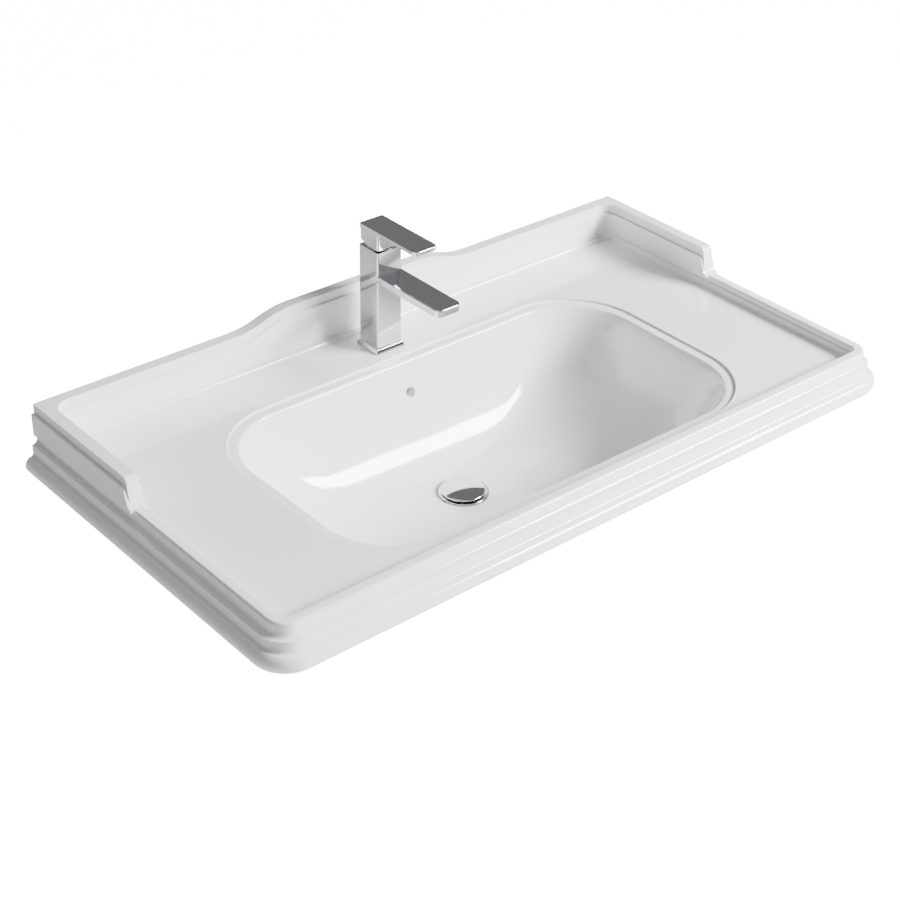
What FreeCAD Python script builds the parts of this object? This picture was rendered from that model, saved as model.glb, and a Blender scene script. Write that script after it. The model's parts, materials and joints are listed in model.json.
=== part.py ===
import FreeCAD, Part

import math
import os
import re

import Sketcher
from FreeCAD import Placement, Rotation, Vector

# A console washbasin in vitreous china, with a single-lever mixer tap and a pop-up waste.
# X runs along the wall, Y points at the wall (its face is y = 0) and Z is up from the rim's underside.

# ---------------------------------------------------------------- driving dimensions, in millimetres
BASIN = {
    "width": 1000,            # over the widest roll of the rim
    "depth": 525,             # from the wall to the widest roll at the front
    "corner": 45,             # plan radius of the roll at the front corners
    "shelf": 37,              # top of the shelf
    "slab": 14,               # thickness of the shelf
    "crest": 55,              # top of the rim at the front and sides
    "crest_out": 19.4,        # outer face of the crest, in from the roll
    "crest_in": 35,           # inner face of the crest
    "crest_round": 4,
    "step_in": 38,            # inner face below the small inner step
    "foot_in": 42,            # where the inner face runs out into the shelf
    "profile_in": 44,         # inner end of the swept rim
    "tier_out": 12,           # outer face of the middle tier
    "tier_low": 24,
    "tier_high": 36,
    "ledge_out": 6.5,         # where the roll starts, under the middle tier
    "ledge": 20.5,
    "roll_foot": 4,
    "roll_round": 12.9,
    "cove_round": 8,
    "skirt": 24,              # inner face of the rim's skirt
    "gallery": 92,            # top of the side galleries and of the ends of the upstand
    "gallery_len": 203,       # length of a gallery's flat top
    "gallery_end": 222,       # where its end meets the crest
    "gallery_lip": 13,        # height of the upper moulding of the galleries and the upstand
    "upstand": 16,            # thickness of the upstand's upper moulding
    "upstand_step": 19.5,     # thickness below it
    "upstand_foot": 25,
    "crown": 109,             # top of the raised middle of the upstand
    "crown_half": 105,
    "shoulder_half": 200,
    "seat_half": 325,         # outline of the shallow bead round the bowl
    "seat_back": 104,
    "seat_front": 469,
    "seat_round": 108,
    "seat_drop": 3,
    "lip_round": 5,           # round of the bowl's lip
    "china": 10.5,            # wall of the bowl
    "china_floor": 10,        # floor of the bowl
    "inner_round": 22,        # inner corners between the galleries and the upstand
}

# Inner surface of the bowl, from the top down: height, half width, back, front, corner radius.
BOWL = [
    (36, 312, 117, 458, 97),
    (20, 305, 122, 453, 96),
    (-5, 298, 129, 447, 97),
    (-45, 281, 142, 434, 102),
    (-80, 243, 162, 409, 104),
    (-100, 178, 183, 366, 86),
    (-107, 100, 194, 318, 58),
    (-110, 36, 205, 277, 35.9),
]

DRAIN = {
    "drain_y": 241,           # drain axis, from the wall
    "drain_hole": 46,
    "drain_boss": 74,
    "boss_foot": -150,        # underside of the china round the drain
    "recess": 70,
    "recess_floor": -114,
    "flange": 66,
    "flange_top": -108.5,
    "flange_low": -112,
    "waste_bore": 36,
    "waste_thread": 41.8,     # G 1 1/4 outside diameter
    "waste_foot": -192,
    "tail_top": -173,         # top of the tail's free end
    "overflow_hole": 15,
    "overflow_z": -9,
    "duct_half": 12,          # overflow duct inside the china
    "duct_wall": 7,
    "duct_foot": -134,
    "duct_roof": -124,
    "plug": 60,               # domed cap
    "cap_low": -107,          # underside of the cap when it is shut
    "stem": 4,
    "stem_foot": -134,
    "bridge_foot": -151,
    "bridge_top": -146,
    "latch_neck": 4.8,
    "latch_top": -120,
    "latch_floor": -141,
}

WALL_PLATE = {
    "plate_half": 190,        # flat back of the basin below the shelf
    "plate_foot": -72,
    "plate": 14,
    "bolt_half": 140,
    "bolt_z": -30,
    "bolt_hole": 14,
    "rib_half": 6,
}

TAP = {
    "tap_y": 66,              # tap axis, from the wall
    "tap_hole": 35,
    "base": 47,               # square base plate
    "base_foot": 37.4,
    "base_taper": 22,
    "column": 40,             # square column
    "column_round": 2.5,
    "column_foot": 43.4,
    "column_top": 184,
    "gasket_out": 42,
    "spigot": 32,
    "spigot_foot": 33,
    "spout_top": 151,
    "spout_foot": 140.5,
    "spout_reach": 142,       # from the tap axis
    "spout_round": 9,
    "channel_low": 142.8,
    "channel_high": 147.6,
    "channel": 22,
    "inlet": 8,
    "inlet_half": 7,
    "inlet_y": 2,
    "outlet_y": 8,
    "inlet_thread": 10,
    "inlet_deep": 14,
    "stud": 8,
    "stud_y": 9.5,
    "stud_foot": -22,
    "stud_top": 47,
    "rubber_foot": 19.5,      # underside of the horseshoe rubber
    "bore": 28.4,             # cartridge bore
    "bore_floor": 150,
    "nut_bore": 32,
    "nut_seat": 174,
    "aerator": 24,
    "aerator_y": 116,         # from the tap axis
    "aerator_foot": 134.5,
    "nut_top": 181,
    "collar_top": 184.8,
    "neck": 8.6,              # radius of the cartridge's neck
    "neck_top": 184.5,
    "rotor_foot": 163.6,
    "rotor_top": 170.2,
    "carrier_top": 163,
    "disc_y": 2,
    "disc_out": 8,
}

HANDLE = {
    "hub": 38,                # square hub of the lever
    "hub_foot": 186.5,
    "hub_round": 3,
    "blade_low": 208,
    "blade": 6,
    "blade_back": 20,         # behind the tap axis
    "blade_front": 95,        # in front of the tap axis
    "blade_round": 8,
    "pivot": 180,             # height of the spindle's pivot pin
    "pin": 1.5,
    "spindle": 6,
    "spindle_top": 203.5,
    "socket_foot": 199,
    "grub": 5,
    "grub_z": 201.2,
    "button": 8.4,
    "ball": 162,              # height of the ball at the spindle's foot
    "ball_round": 2.2,
    "ball_neck": 1.7,
    "lift": 18,               # lift of the lever, in degrees
    "relief_y": 2,            # where the hub's underside starts to slope up to the back
}

doc = FreeCAD.newDocument("washbasin")
sheet = doc.addObject("Spreadsheet::Sheet", "dims")


def fill_sheet():
    """Write every driving dimension into the sheet, each with its alias."""
    rows = []
    for group in (BASIN, DRAIN, WALL_PLATE, TAP, HANDLE):
        rows += list(group.items())
    for level, values in enumerate(BOWL):
        for word, value in zip(("z", "half", "back", "front", "round"), values):
            rows.append((f"bowl{level}_{word}", value))
    for row, (alias, value) in enumerate(rows, start=1):
        sheet.set(f"A{row}", alias)
        sheet.set(f"B{row}", str(value))
        sheet.setAlias(f"B{row}", alias)
    doc.recompute()
    return {alias: float(value) for alias, value in rows}


SIZES = fill_sheet()
WORDS = re.compile(r"[a-z_][a-z_0-9]*")


def bound(text):
    """Turn a formula on aliases into an expression on the sheet."""
    return WORDS.sub(lambda found: "dims." + found[0] if found[0] in SIZES else found[0], str(text))


def size(text):
    """Value of a formula on aliases."""
    return float(sheet.evalExpression(bound(text)))


# ---------------------------------------------------------------- sketching
def sketch_on(body, name, role, level="0"):
    """New sketch on one of the body's own planes, moved along its normal to a level."""
    sketch = body.newObject("Sketcher::SketchObject", name)
    plane = next(item for item in body.Origin.OriginFeatures if item.Role == role)
    sketch.AttachmentSupport = [(plane, "")]
    sketch.MapMode = "FlatFace"
    sketch.setExpression("AttachmentOffset.Base.z", bound(level))
    return sketch


def dimension(sketch, kind, formula, *where):
    """Add a dimension that follows a formula on the sheet."""
    index = sketch.addConstraint(Sketcher.Constraint(kind, *where, size(formula)))
    sketch.setExpression(f"Constraints[{index}]", bound(formula))


def arc_between(start, end, radius):
    """Arc from start to end; it turns left for a positive radius and right for a negative one."""
    chord = end - start
    left = Vector(-chord.y, chord.x, 0).normalize()
    reach = math.sqrt(max(radius * radius - chord.Length ** 2 / 4, 0))
    centre = (start + end) / 2 + left * math.copysign(reach, radius)
    first, last = (start, end) if radius > 0 else (end, start)
    angles = [math.atan2(p.y - centre.y, p.x - centre.x) for p in (first, last)]
    circle = Part.Circle(centre, Vector(0, 0, 1), abs(radius))
    return Part.ArcOfCircle(circle, *angles)


def outline(sketch, corners, closed=True):
    """Outline through corners (x, y); a third value is the radius of the arc that ends at the corner."""
    points = [Vector(size(corner[0]), size(corner[1]), 0) for corner in corners]
    count = len(corners) if closed else len(corners) - 1
    ends = []
    for index in range(count):
        start = points[index]
        target = (index + 1) % len(corners)
        if len(corners[target]) == 3:
            radius = size(corners[target][2])
            edge = sketch.addGeometry(arc_between(start, points[target], radius))
            ends.append((edge, 1, 2) if radius > 0 else (edge, 2, 1))
            dimension(sketch, "Radius", f"abs({corners[target][2]})", edge)
        else:
            edge = sketch.addGeometry(Part.LineSegment(start, points[target]))
            ends.append((edge, 1, 2))
    for index in range(count if closed else count - 1):
        edge, _, last = ends[index]
        following, first, _ = ends[(index + 1) % count]
        sketch.addConstraint(Sketcher.Constraint("Coincident", edge, last, following, first))
    for (edge, first, _), corner in zip(ends, corners):
        dimension(sketch, "DistanceX", corner[0], -1, 1, edge, first)
        dimension(sketch, "DistanceY", corner[1], -1, 1, edge, first)
    if not closed:
        edge, _, last = ends[-1]
        dimension(sketch, "DistanceX", corners[-1][0], -1, 1, edge, last)
        dimension(sketch, "DistanceY", corners[-1][1], -1, 1, edge, last)
    return sketch


def circle(sketch, x, y, radius):
    """Circle with its centre and radius dimensioned."""
    centre = Vector(size(x), size(y), 0)
    edge = sketch.addGeometry(Part.Circle(centre, Vector(0, 0, 1), size(radius)))
    dimension(sketch, "DistanceX", x, -1, 1, edge, 3)
    dimension(sketch, "DistanceY", y, -1, 1, edge, 3)
    dimension(sketch, "Radius", radius, edge)
    return sketch


def rectangle(sketch, x0, y0, x1, y1):
    """Rectangle from its four sides."""
    return outline(sketch, [(x0, y0), (x1, y0), (x1, y1), (x0, y1)])


def rounded(sketch, x0, y0, x1, y1, r):
    """Rectangle with round corners."""
    return outline(sketch, [
        (f"{x0} + {r}", y0, r), (f"{x1} - {r}", y0),
        (x1, f"{y0} + {r}", r), (x1, f"{y1} - {r}"),
        (f"{x1} - {r}", y1, r), (f"{x0} + {r}", y1),
        (x0, f"{y1} - {r}", r), (x0, f"{y0} + {r}"),
    ])


# ---------------------------------------------------------------- features
def new_body(label, y="0"):
    """Empty sub-part, its own axis standing at a distance from the wall."""
    body = doc.addObject("PartDesign::Body", label)
    body.Label = label
    body.setExpression("Placement.Base.y", bound(f"-({y})"))
    return body


def extrude(body, sketch, start, end, cut=False):
    """Pad or pocket a sketch along its normal, from one level to another."""
    before = body.Shape.Volume if body.Tip else 0
    sketch.setExpression("AttachmentOffset.Base.z", bound(start))
    feature = body.newObject("PartDesign::Pocket" if cut else "PartDesign::Pad", sketch.Name + "_solid")
    feature.Profile = sketch
    feature.setExpression("Length", bound(f"({end}) - ({start})"))
    feature.Reversed = cut
    doc.recompute()
    changed = body.Shape.Volume - before
    if (changed > -1e-3) if cut else (changed < 1e-3):
        raise RuntimeError(f"{body.Label}: {sketch.Name} changed nothing")
    return feature


def revolve(body, sketch, cut=False):
    """Turn a half profile about the body's own axis."""
    kind = "PartDesign::Groove" if cut else "PartDesign::Revolution"
    feature = body.newObject(kind, sketch.Name + "_turned")
    feature.Profile = sketch
    feature.ReferenceAxis = (sketch, ["V_Axis"])
    feature.Angle = 360
    doc.recompute()
    return feature


def loft(body, sketches, cut=False):
    """Smooth loft through sketches."""
    kind = "PartDesign::SubtractiveLoft" if cut else "PartDesign::AdditiveLoft"
    feature = body.newObject(kind, sketches[0].Name + "_loft")
    feature.Profile = sketches[0]
    feature.Sections = [(item, [""]) for item in sketches[1:]]
    doc.recompute()
    return feature


def fillet(body, radius, wanted):
    """Round the tip's edges that the test picks."""
    base = body.Tip
    names = [f"Edge{number}" for number, edge in enumerate(base.Shape.Edges, start=1) if wanted(edge)]
    if not names:
        raise RuntimeError(f"{body.Label}: no edge to round")
    feature = body.newObject("PartDesign::Fillet", f"{body.Label}_round")
    feature.Base = (base, names)
    feature.setExpression("Radius", bound(radius))
    doc.recompute()
    return feature


def turned(label, y, profile):
    """Turned sub-part from a half profile of (radius, height)."""
    body = new_body(label, y)
    revolve(body, outline(sketch_on(body, label + "_profile", "XZ_Plane"), profile))
    return body


def ring(label, y, inner, outer, low, high):
    """Plain ring or washer."""
    return turned(label, y, [(inner, low), (outer, low), (outer, high), (inner, high)])


def level_edge(z, slack=0.01):
    """Test for edges that lie level at a height."""
    return lambda edge: all(abs(v.Z - z) < slack for v in edge.Vertexes) and abs(edge.CenterOfMass.z - z) < slack


def upright_edge(edge):
    """Test for vertical straight edges."""
    line = edge.Vertexes
    return len(line) == 2 and abs(line[0].X - line[1].X) < 1e-6 and abs(line[0].Y - line[1].Y) < 1e-6


# ---------------------------------------------------------------- basin
def rim(body):
    """Moulded rim, swept round the front and the sides: roll, two tiers, crest and inner step."""
    path = outline(sketch_on(body, "rim_path", "XY_Plane"), [
        ("-width / 2", "0"), ("-width / 2", "corner - depth"), ("corner - width / 2", "-depth", "corner"),
        ("width / 2 - corner", "-depth"), ("width / 2", "corner - depth", "corner"), ("width / 2", "0"),
    ], closed=False)
    edge = "-width / 2 + "
    profile = outline(sketch_on(body, "rim_profile", "XZ_Plane"), [
        (edge + "roll_foot", "0", "roll_round"), (edge + "skirt", "0"), (edge + "skirt + 4", "shelf - slab"),
        (edge + "profile_in", "shelf - slab"), (edge + "profile_in", "shelf"),
        (edge + "foot_in", "shelf"), (edge + "step_in", "shelf + 4", "-4"),
        (edge + "step_in", "crest - 9"), (edge + "crest_in", "crest - 7"),
        (edge + "crest_in", "crest - crest_round"),
        (edge + "crest_in - crest_round", "crest", "crest_round"),
        (edge + "crest_out + crest_round", "crest"),
        (edge + "crest_out", "crest - crest_round", "crest_round"),
        (edge + "crest_out", "tier_high + 6"), (edge + "tier_out", "tier_high", "-cove_round"),
        (edge + "tier_out", "tier_low"), (edge + "ledge_out", "ledge", "-5"),
    ])
    feature = body.newObject("PartDesign::AdditivePipe", "rim_sweep")
    feature.Profile = profile
    feature.Spine = (path, [])
    doc.recompute()
    return feature


def gallery(body, side):
    """Raised side gallery with its ogee end; the part below the lip stands a little further in."""
    for name, drop, outer, inner in (
        ("lip", "0", "crest_out", "crest_in"),
        ("face", "gallery_lip", "crest_out + 4", "step_in"),
    ):
        sketch = sketch_on(body, f"gallery_{name}_{'left' if side < 0 else 'right'}", "YZ_Plane")
        top = f"gallery - {drop}"
        middle = f"(crest + {top}) / 2"
        outline(sketch, [
            ("0", "crest - 6"), ("-gallery_end", "crest - 6"), ("-gallery_end", "crest - 0.5"),
            ("-gallery_end + 7", f"crest + 5.5", "7.5"), ("-gallery_len - 8", f"{top} - 8"),
            ("-gallery_len", top, "-8"), ("0", top),
        ])
        near, far = f"width / 2 - {inner}", f"width / 2 - {outer}"
        if side < 0:
            near, far = f"-({far})", f"-({near})"
        extrude(body, sketch, near, far)


def crown_outline(sketch, half, low, drop):
    """Outline of the upstand seen from the front, its top rising to the crown by two S-curves."""
    ends, crown = f"(gallery - {drop})", f"(crown - {drop})"
    half_run = "((shoulder_half - crown_half) / 2)"
    half_rise = "((crown - gallery) / 2)"
    bend = f"(({half_run} ^ 2 + {half_rise} ^ 2) / (2 * {half_rise}))"
    turn_x, turn_z = f"(crown_half + {half_run})", f"({ends} + {half_rise})"
    return outline(sketch, [
        (f"-({half})", low), (half, low), (half, ends), ("shoulder_half", ends),
        (turn_x, turn_z, f"-{bend}"), ("crown_half", crown, bend),
        ("-crown_half", crown), (f"-{turn_x}", turn_z, bend), ("-shoulder_half", ends, f"-{bend}"),
        (f"-({half})", ends),
    ])


def upstand(body):
    """Back upstand: lip, thicker face below it and a cove at its foot."""
    lip = sketch_on(body, "upstand_lip", "XZ_Plane")
    crown_outline(lip, "width / 2 - crest_out", "shelf - slab", "0")
    extrude(body, lip, "0", "upstand")
    face = sketch_on(body, "upstand_face", "XZ_Plane")
    crown_outline(face, "width / 2 - crest_out - 4", "shelf - slab", "gallery_lip")
    extrude(body, face, "0", "upstand_step")
    foot = outline(sketch_on(body, "upstand_foot", "YZ_Plane"), [
        ("0", "shelf - slab"), ("0", "shelf + 12"), ("-upstand_step", "shelf + 12"),
        ("-upstand_step", "shelf + upstand_foot - upstand_step"),
        ("-upstand_foot", "shelf", "upstand_foot - upstand_step"), ("-upstand_foot", "shelf - slab"),
    ])
    extrude(body, foot, "-(width / 2 - step_in)", "width / 2 - step_in")
    for side, word in ((-1, "left"), (1, "right")):
        for name, inner, back, top in (
            ("lip", "crest_in", "upstand", "gallery"),
            ("face", "step_in", "upstand_step", "gallery - gallery_lip"),
        ):
            sketch = sketch_on(body, f"corner_{name}_{word}", "XY_Plane")
            wall = f"{side} * (width / 2 - {inner})"
            bend = "-inner_round" if side < 0 else "inner_round"
            outline(sketch, [
                (wall, f"-{back}"), (wall, f"-{back} - inner_round"),
                (f"{wall} - {side} * inner_round", f"-{back}", bend),
            ])
            extrude(body, sketch, "shelf - 2", top)


def bowl_section(body, level, outer):
    """One level of the bowl: its inner surface, or its outer one a wall's thickness out and down."""
    word = f"bowl{level}_"
    grow = "china" if outer else "0"
    sink = f"china_floor * {min(level, 4) / 4}" if outer else "0"
    name = f"bowl_{'outer' if outer else 'inner'}_{level}"
    sketch = sketch_on(body, name, "XY_Plane", f"{word}z - {sink}")
    half = f"({word}half + {grow})"
    return rounded(sketch, f"-{half}", f"-({word}front + {grow})", half, f"-({word}back - {grow})",
                   f"({word}round + {grow})")


def duct_profile(sketch, wall):
    """Side view of the overflow duct, down the back of the bowl and forward into the drain."""
    return outline(sketch, [
        (f"-(seat_back + 2 - {wall})", f"0 + {wall}"), (f"-(seat_back + 14 + {wall})", f"0 + {wall}"),
        (f"-(seat_back + 14 + {wall})", f"overflow_z - 14 - {wall}"),
        (f"-(seat_back + 34 + {wall})", f"-80 - {wall}"), (f"-(drain_y - 50)", f"duct_roof + {wall}"),
        (f"-(drain_y - 10 + {wall})", f"duct_roof + {wall}"),
        (f"-(drain_y - 10 + {wall})", f"duct_foot - {wall}"),
        (f"-(drain_y - 55)", f"duct_foot - {wall}"), (f"-(seat_back + 20 - {wall})", f"-84 - {wall}"),
        (f"-(seat_back + 2 - {wall})", f"-30 - {wall}"),
    ])


def basin():
    """The one china casting."""
    body = new_body("basin")
    rim(body)
    slab = rectangle(sketch_on(body, "shelf_slab", "XY_Plane"),
                     "-(width / 2 - foot_in)", "-(depth - foot_in)", "width / 2 - foot_in", "0")
    extrude(body, slab, "shelf - slab", "shelf")
    upstand(body)
    for side in (-1, 1):
        gallery(body, side)
    plate = rectangle(sketch_on(body, "wall_plate", "XZ_Plane"),
                      "-plate_half", "plate_foot", "plate_half", "shelf - slab + 1")
    extrude(body, plate, "0", "plate")
    loft(body, [bowl_section(body, level, True) for level in range(len(BOWL))])
    boss = circle(sketch_on(body, "drain_boss", "XY_Plane"), "0", "-drain_y", "drain_boss / 2")
    extrude(body, boss, "boss_foot", "-108")
    casing = duct_profile(sketch_on(body, "duct_casing", "YZ_Plane"), "duct_wall")
    extrude(body, casing, "-(duct_half + duct_wall)", "duct_half + duct_wall")
    for side in (-1, 1):
        rib = outline(sketch_on(body, f"rib_{'left' if side < 0 else 'right'}", "YZ_Plane"), [
            ("-plate + 2", "plate_foot + 6"), ("-plate + 2", "shelf - slab + 1"),
            ("-160", "shelf - slab + 1"), ("-160", "-40"),
        ])
        extrude(body, rib, f"{side} * 75 - rib_half", f"{side} * 75 + rib_half")
    seat = rounded(sketch_on(body, "bowl_seat", "XY_Plane"), "-seat_half", "-seat_front",
                   "seat_half", "-seat_back", "seat_round")
    extrude(body, seat, "shelf - seat_drop", "shelf + 1", cut=True)
    loft(body, [bowl_section(body, level, False) for level in range(len(BOWL))], cut=True)
    lip = level_edge(size("shelf - seat_drop"))
    fillet(body, "lip_round", lambda edge: lip(edge) and abs(edge.BoundBox.XMax) < size("seat_half - 5")
           and abs(edge.BoundBox.XMin) < size("seat_half - 5")
           and -size("seat_front - 5") < edge.BoundBox.YMin and edge.BoundBox.YMax < -size("seat_back + 5"))
    recess = circle(sketch_on(body, "flange_recess", "XY_Plane"), "0", "-drain_y", "recess / 2")
    extrude(body, recess, "recess_floor", "-108", cut=True)
    drain = circle(sketch_on(body, "drain_bore", "XY_Plane"), "0", "-drain_y", "drain_hole / 2")
    extrude(body, drain, "boss_foot - 1", "recess_floor + 1", cut=True)
    duct = duct_profile(sketch_on(body, "duct", "YZ_Plane"), "0")
    extrude(body, duct, "-duct_half", "duct_half", cut=True)
    weep = circle(sketch_on(body, "overflow_hole", "XZ_Plane"), "0", "overflow_z", "overflow_hole / 2")
    extrude(body, weep, "seat_back + 8", "seat_back + 45", cut=True)
    tap_hole = circle(sketch_on(body, "tap_hole", "XY_Plane"), "0", "-tap_y", "tap_hole / 2")
    extrude(body, tap_hole, "shelf - slab - 1", "shelf + 1", cut=True)
    for side in (-1, 1):
        bolt = circle(sketch_on(body, f"bolt_hole_{'left' if side < 0 else 'right'}", "XZ_Plane"),
                      f"{side} * bolt_half", "bolt_z", "bolt_hole / 2")
        extrude(body, bolt, "-1", "plate + 1", cut=True)
    return body


# ---------------------------------------------------------------- tap
def tap_base_gasket():
    """Rubber ring under the base plate."""
    return ring("tap_base_gasket", "tap_y", "spigot / 2 + 0.5", "gasket_out / 2", "shelf", "shelf + 2.5")


def tap_base_plate():
    """Square plate that flares out to the shelf, with a groove for its gasket."""
    body = new_body("tap_base_plate", "tap_y")
    square = rounded(sketch_on(body, "plate_foot", "XY_Plane"),
                     "-base / 2", "-base / 2", "base / 2", "base / 2", "column_round")
    plate = extrude(body, square, "base_foot", "column_foot")
    plate.setExpression("TaperAngle", bound("-base_taper"))
    hole = circle(sketch_on(body, "plate_hole", "XY_Plane"), "0", "0", "spigot / 2 + 0.2")
    extrude(body, hole, "base_foot - 1", "column_foot + 1", cut=True)
    groove = circle(sketch_on(body, "plate_groove", "XY_Plane"), "0", "0", "gasket_out / 2 + 0.2")
    extrude(body, groove, "base_foot - 1", "shelf + 2.5", cut=True)
    return body


def ports(body, name, radius, low, high):
    """Two inlets and one outlet through a disc of the cartridge."""
    sketch = sketch_on(body, name, "XY_Plane")
    for side in (-1, 1):
        circle(sketch, f"{side} * inlet_half", "inlet_y", radius)
    circle(sketch, "0", "-outlet_y", radius)
    extrude(body, sketch, low, high, cut=True)


def tap_body():
    """Square column and flat spout in one chromed brass casting, with its waterways."""
    body = new_body("tap_body", "tap_y")
    column = rounded(sketch_on(body, "column", "XY_Plane"),
                     "-column / 2", "-column / 2", "column / 2", "column / 2", "column_round")
    extrude(body, column, "column_foot", "column_top")
    spout = outline(sketch_on(body, "spout", "XY_Plane"), [
        ("-column / 2", "-column / 4"), ("-column / 2", "spout_round - spout_reach"),
        ("spout_round - column / 2", "-spout_reach", "spout_round"),
        ("column / 2 - spout_round", "-spout_reach"),
        ("column / 2", "spout_round - spout_reach", "spout_round"), ("column / 2", "-column / 4"),
    ])
    extrude(body, spout, "spout_foot", "spout_top")
    fillet(body, "1.2", lambda edge: abs(edge.CenterOfMass.y + size("spout_reach") / 2) < 70
           and edge.CenterOfMass.y < -size("column") / 2 - 1
           and (level_edge(size("spout_top"))(edge) or level_edge(size("spout_foot"))(edge)))
    spigot = circle(sketch_on(body, "spigot", "XY_Plane"), "0", "0", "spigot / 2")
    extrude(body, spigot, "spigot_foot", "column_foot + 1")
    bore = circle(sketch_on(body, "cartridge_bore", "XY_Plane"), "0", "0", "bore / 2")
    extrude(body, bore, "bore_floor", "column_top + 1", cut=True)
    seat = circle(sketch_on(body, "nut_bore", "XY_Plane"), "0", "0", "nut_bore / 2")
    extrude(body, seat, "nut_seat", "column_top + 1", cut=True)
    for side, word in ((-1, "hot"), (1, "cold")):
        inlet = circle(sketch_on(body, f"{word}_inlet", "XY_Plane"),
                       f"{side} * inlet_half", "inlet_y", "inlet / 2")
        extrude(body, inlet, "spigot_foot - 1", "bore_floor + 1", cut=True)
        thread = circle(sketch_on(body, f"{word}_thread", "XY_Plane"),
                        f"{side} * inlet_half", "inlet_y", "inlet_thread / 2")
        extrude(body, thread, "spigot_foot - 1", "spigot_foot + inlet_deep", cut=True)
    outlet = circle(sketch_on(body, "outlet", "XY_Plane"), "0", "-outlet_y", "inlet / 2")
    extrude(body, outlet, "channel_low", "bore_floor + 1", cut=True)
    channel = rectangle(sketch_on(body, "channel", "XY_Plane"), "-channel / 2", "-(aerator_y + channel / 2)",
                        "channel / 2", "inlet / 2 - outlet_y")
    extrude(body, channel, "channel_low", "channel_high", cut=True)
    nozzle = circle(sketch_on(body, "nozzle", "XY_Plane"), "0", "-aerator_y", "channel / 2")
    extrude(body, nozzle, "spout_foot - 1", "channel_low + 1", cut=True)
    stud = circle(sketch_on(body, "stud_hole", "XY_Plane"), "0", "-stud_y", "stud / 2")
    extrude(body, stud, "spigot_foot - 1", "stud_top", cut=True)
    return body


def aerator_housing():
    """Chromed ring that screws up into the spout."""
    body = turned("aerator_housing", "tap_y", [
        ("aerator / 2 - 4", "aerator_foot"), ("aerator / 2 - 0.8", "aerator_foot"),
        ("aerator / 2", "aerator_foot + 0.8"), ("aerator / 2", "spout_foot"),
        ("channel / 2 - 0.1", "spout_foot"), ("channel / 2 - 0.1", "channel_low - 0.3"),
        ("aerator / 2 - 2.4", "channel_low - 0.3"), ("aerator / 2 - 2.4", "aerator_foot + 1"),
        ("aerator / 2 - 4", "aerator_foot + 1"),
    ])
    body.setExpression("Placement.Base.y", bound("-(tap_y + aerator_y)"))
    return body


def aerator_insert():
    """Plastic jet disc with a ring of water holes."""
    body = ring("aerator_insert", "tap_y + aerator_y", "0", "aerator / 2 - 2.5",
                "aerator_foot + 1", "aerator_foot + 6")
    for count, reach in ((6, "3.2"), (12, "6.6")):
        holes = sketch_on(body, f"jets_{count}", "XY_Plane")
        for step in range(count):
            turn = step * 360 / count
            circle(holes, f"{reach} * cos({turn})", f"{reach} * sin({turn})", "0.9")
        extrude(body, holes, "aerator_foot", "aerator_foot + 7", cut=True)
    return body


def aerator_washer():
    """Rubber ring above the aerator."""
    return ring("aerator_washer", "tap_y + aerator_y", "aerator / 2 - 4.5", "channel / 2 - 0.2",
                "channel_low - 0.3", "channel_low + 0.7")


# ---------------------------------------------------------------- tap fixing under the shelf
def fixing_stud():
    """Threaded stud that pulls the tap down onto the shelf."""
    body = ring("fixing_stud", "tap_y + stud_y", "0", "stud / 2 - 0.05", "stud_foot", "stud_top - 2")
    return body


def horseshoe(label, low, high, extra):
    """Horseshoe washer: closed round the stud, open at the back for the supply hoses."""
    body = new_body(label, "tap_y")
    shape = outline(sketch_on(body, label + "_shape", "XY_Plane"), [
        (f"-(14 + {extra})", f"17 + {extra}"), (f"-(22 + {extra})", "8"),
        (f"22 + {extra}", "8", f"23.4 + {extra}"), (f"14 + {extra}", f"17 + {extra}"),
        ("13.5", "0"), ("10", "-3.5", "-3.5"), ("-10", "-3.5"), ("-13.5", "0", "-3.5"),
    ])
    extrude(body, shape, low, high)
    hole = circle(sketch_on(body, label + "_hole", "XY_Plane"), "0", "-stud_y", "stud / 2 + 0.2")
    extrude(body, hole, f"{low} - 1", f"{high} + 1", cut=True)
    return body


def horseshoe_rubber():
    """Soft washer against the china."""
    return horseshoe("horseshoe_rubber", "rubber_foot", "shelf - slab", "0")


def horseshoe_plate():
    """Steel plate that spreads the nut's pull."""
    return horseshoe("horseshoe_plate", "rubber_foot - 2", "rubber_foot", "-0.5")


def hex_nut(label, y, corner, hole, low, high):
    """Hexagon nut."""
    body = new_body(label, y)
    shape = outline(sketch_on(body, label + "_hexagon", "XY_Plane"), [
        (f"{corner} * cos({60 * step})", f"{corner} * sin({60 * step})") for step in range(6)
    ])
    extrude(body, shape, low, high)
    bore = circle(sketch_on(body, label + "_bore", "XY_Plane"), "0", "0", hole)
    extrude(body, bore, f"{low} - 1", f"{high} + 1", cut=True)
    return body


def fixing_nut():
    """Long brass nut on the stud."""
    return hex_nut("fixing_nut", "tap_y + stud_y", "7.5", "stud / 2", "rubber_foot - 12", "rubber_foot - 2")


# ---------------------------------------------------------------- cartridge
def cartridge_seal():
    """Rubber pad between the cartridge and the floor of its bore."""
    body = ring("cartridge_seal", "tap_y", "0", "bore / 2 - 0.1", "bore_floor", "bore_floor + 1.2")
    ports(body, "seal_ports", "3.8", "bore_floor - 1", "bore_floor + 2")
    return body


def cartridge_base():
    """Plastic foot of the cartridge."""
    body = ring("cartridge_base", "tap_y", "0", "12.5", "bore_floor + 1.2", "bore_floor + 4")
    ports(body, "base_ports", "3.5", "bore_floor", "bore_floor + 5")
    return body


def fixed_disc():
    """Ceramic disc with the three water ports."""
    body = ring("fixed_disc", "tap_y", "0", "12.4", "bore_floor + 4", "bore_floor + 6.5")
    ports(body, "disc_ports", "3", "bore_floor + 3", "bore_floor + 7")
    return body


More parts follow.
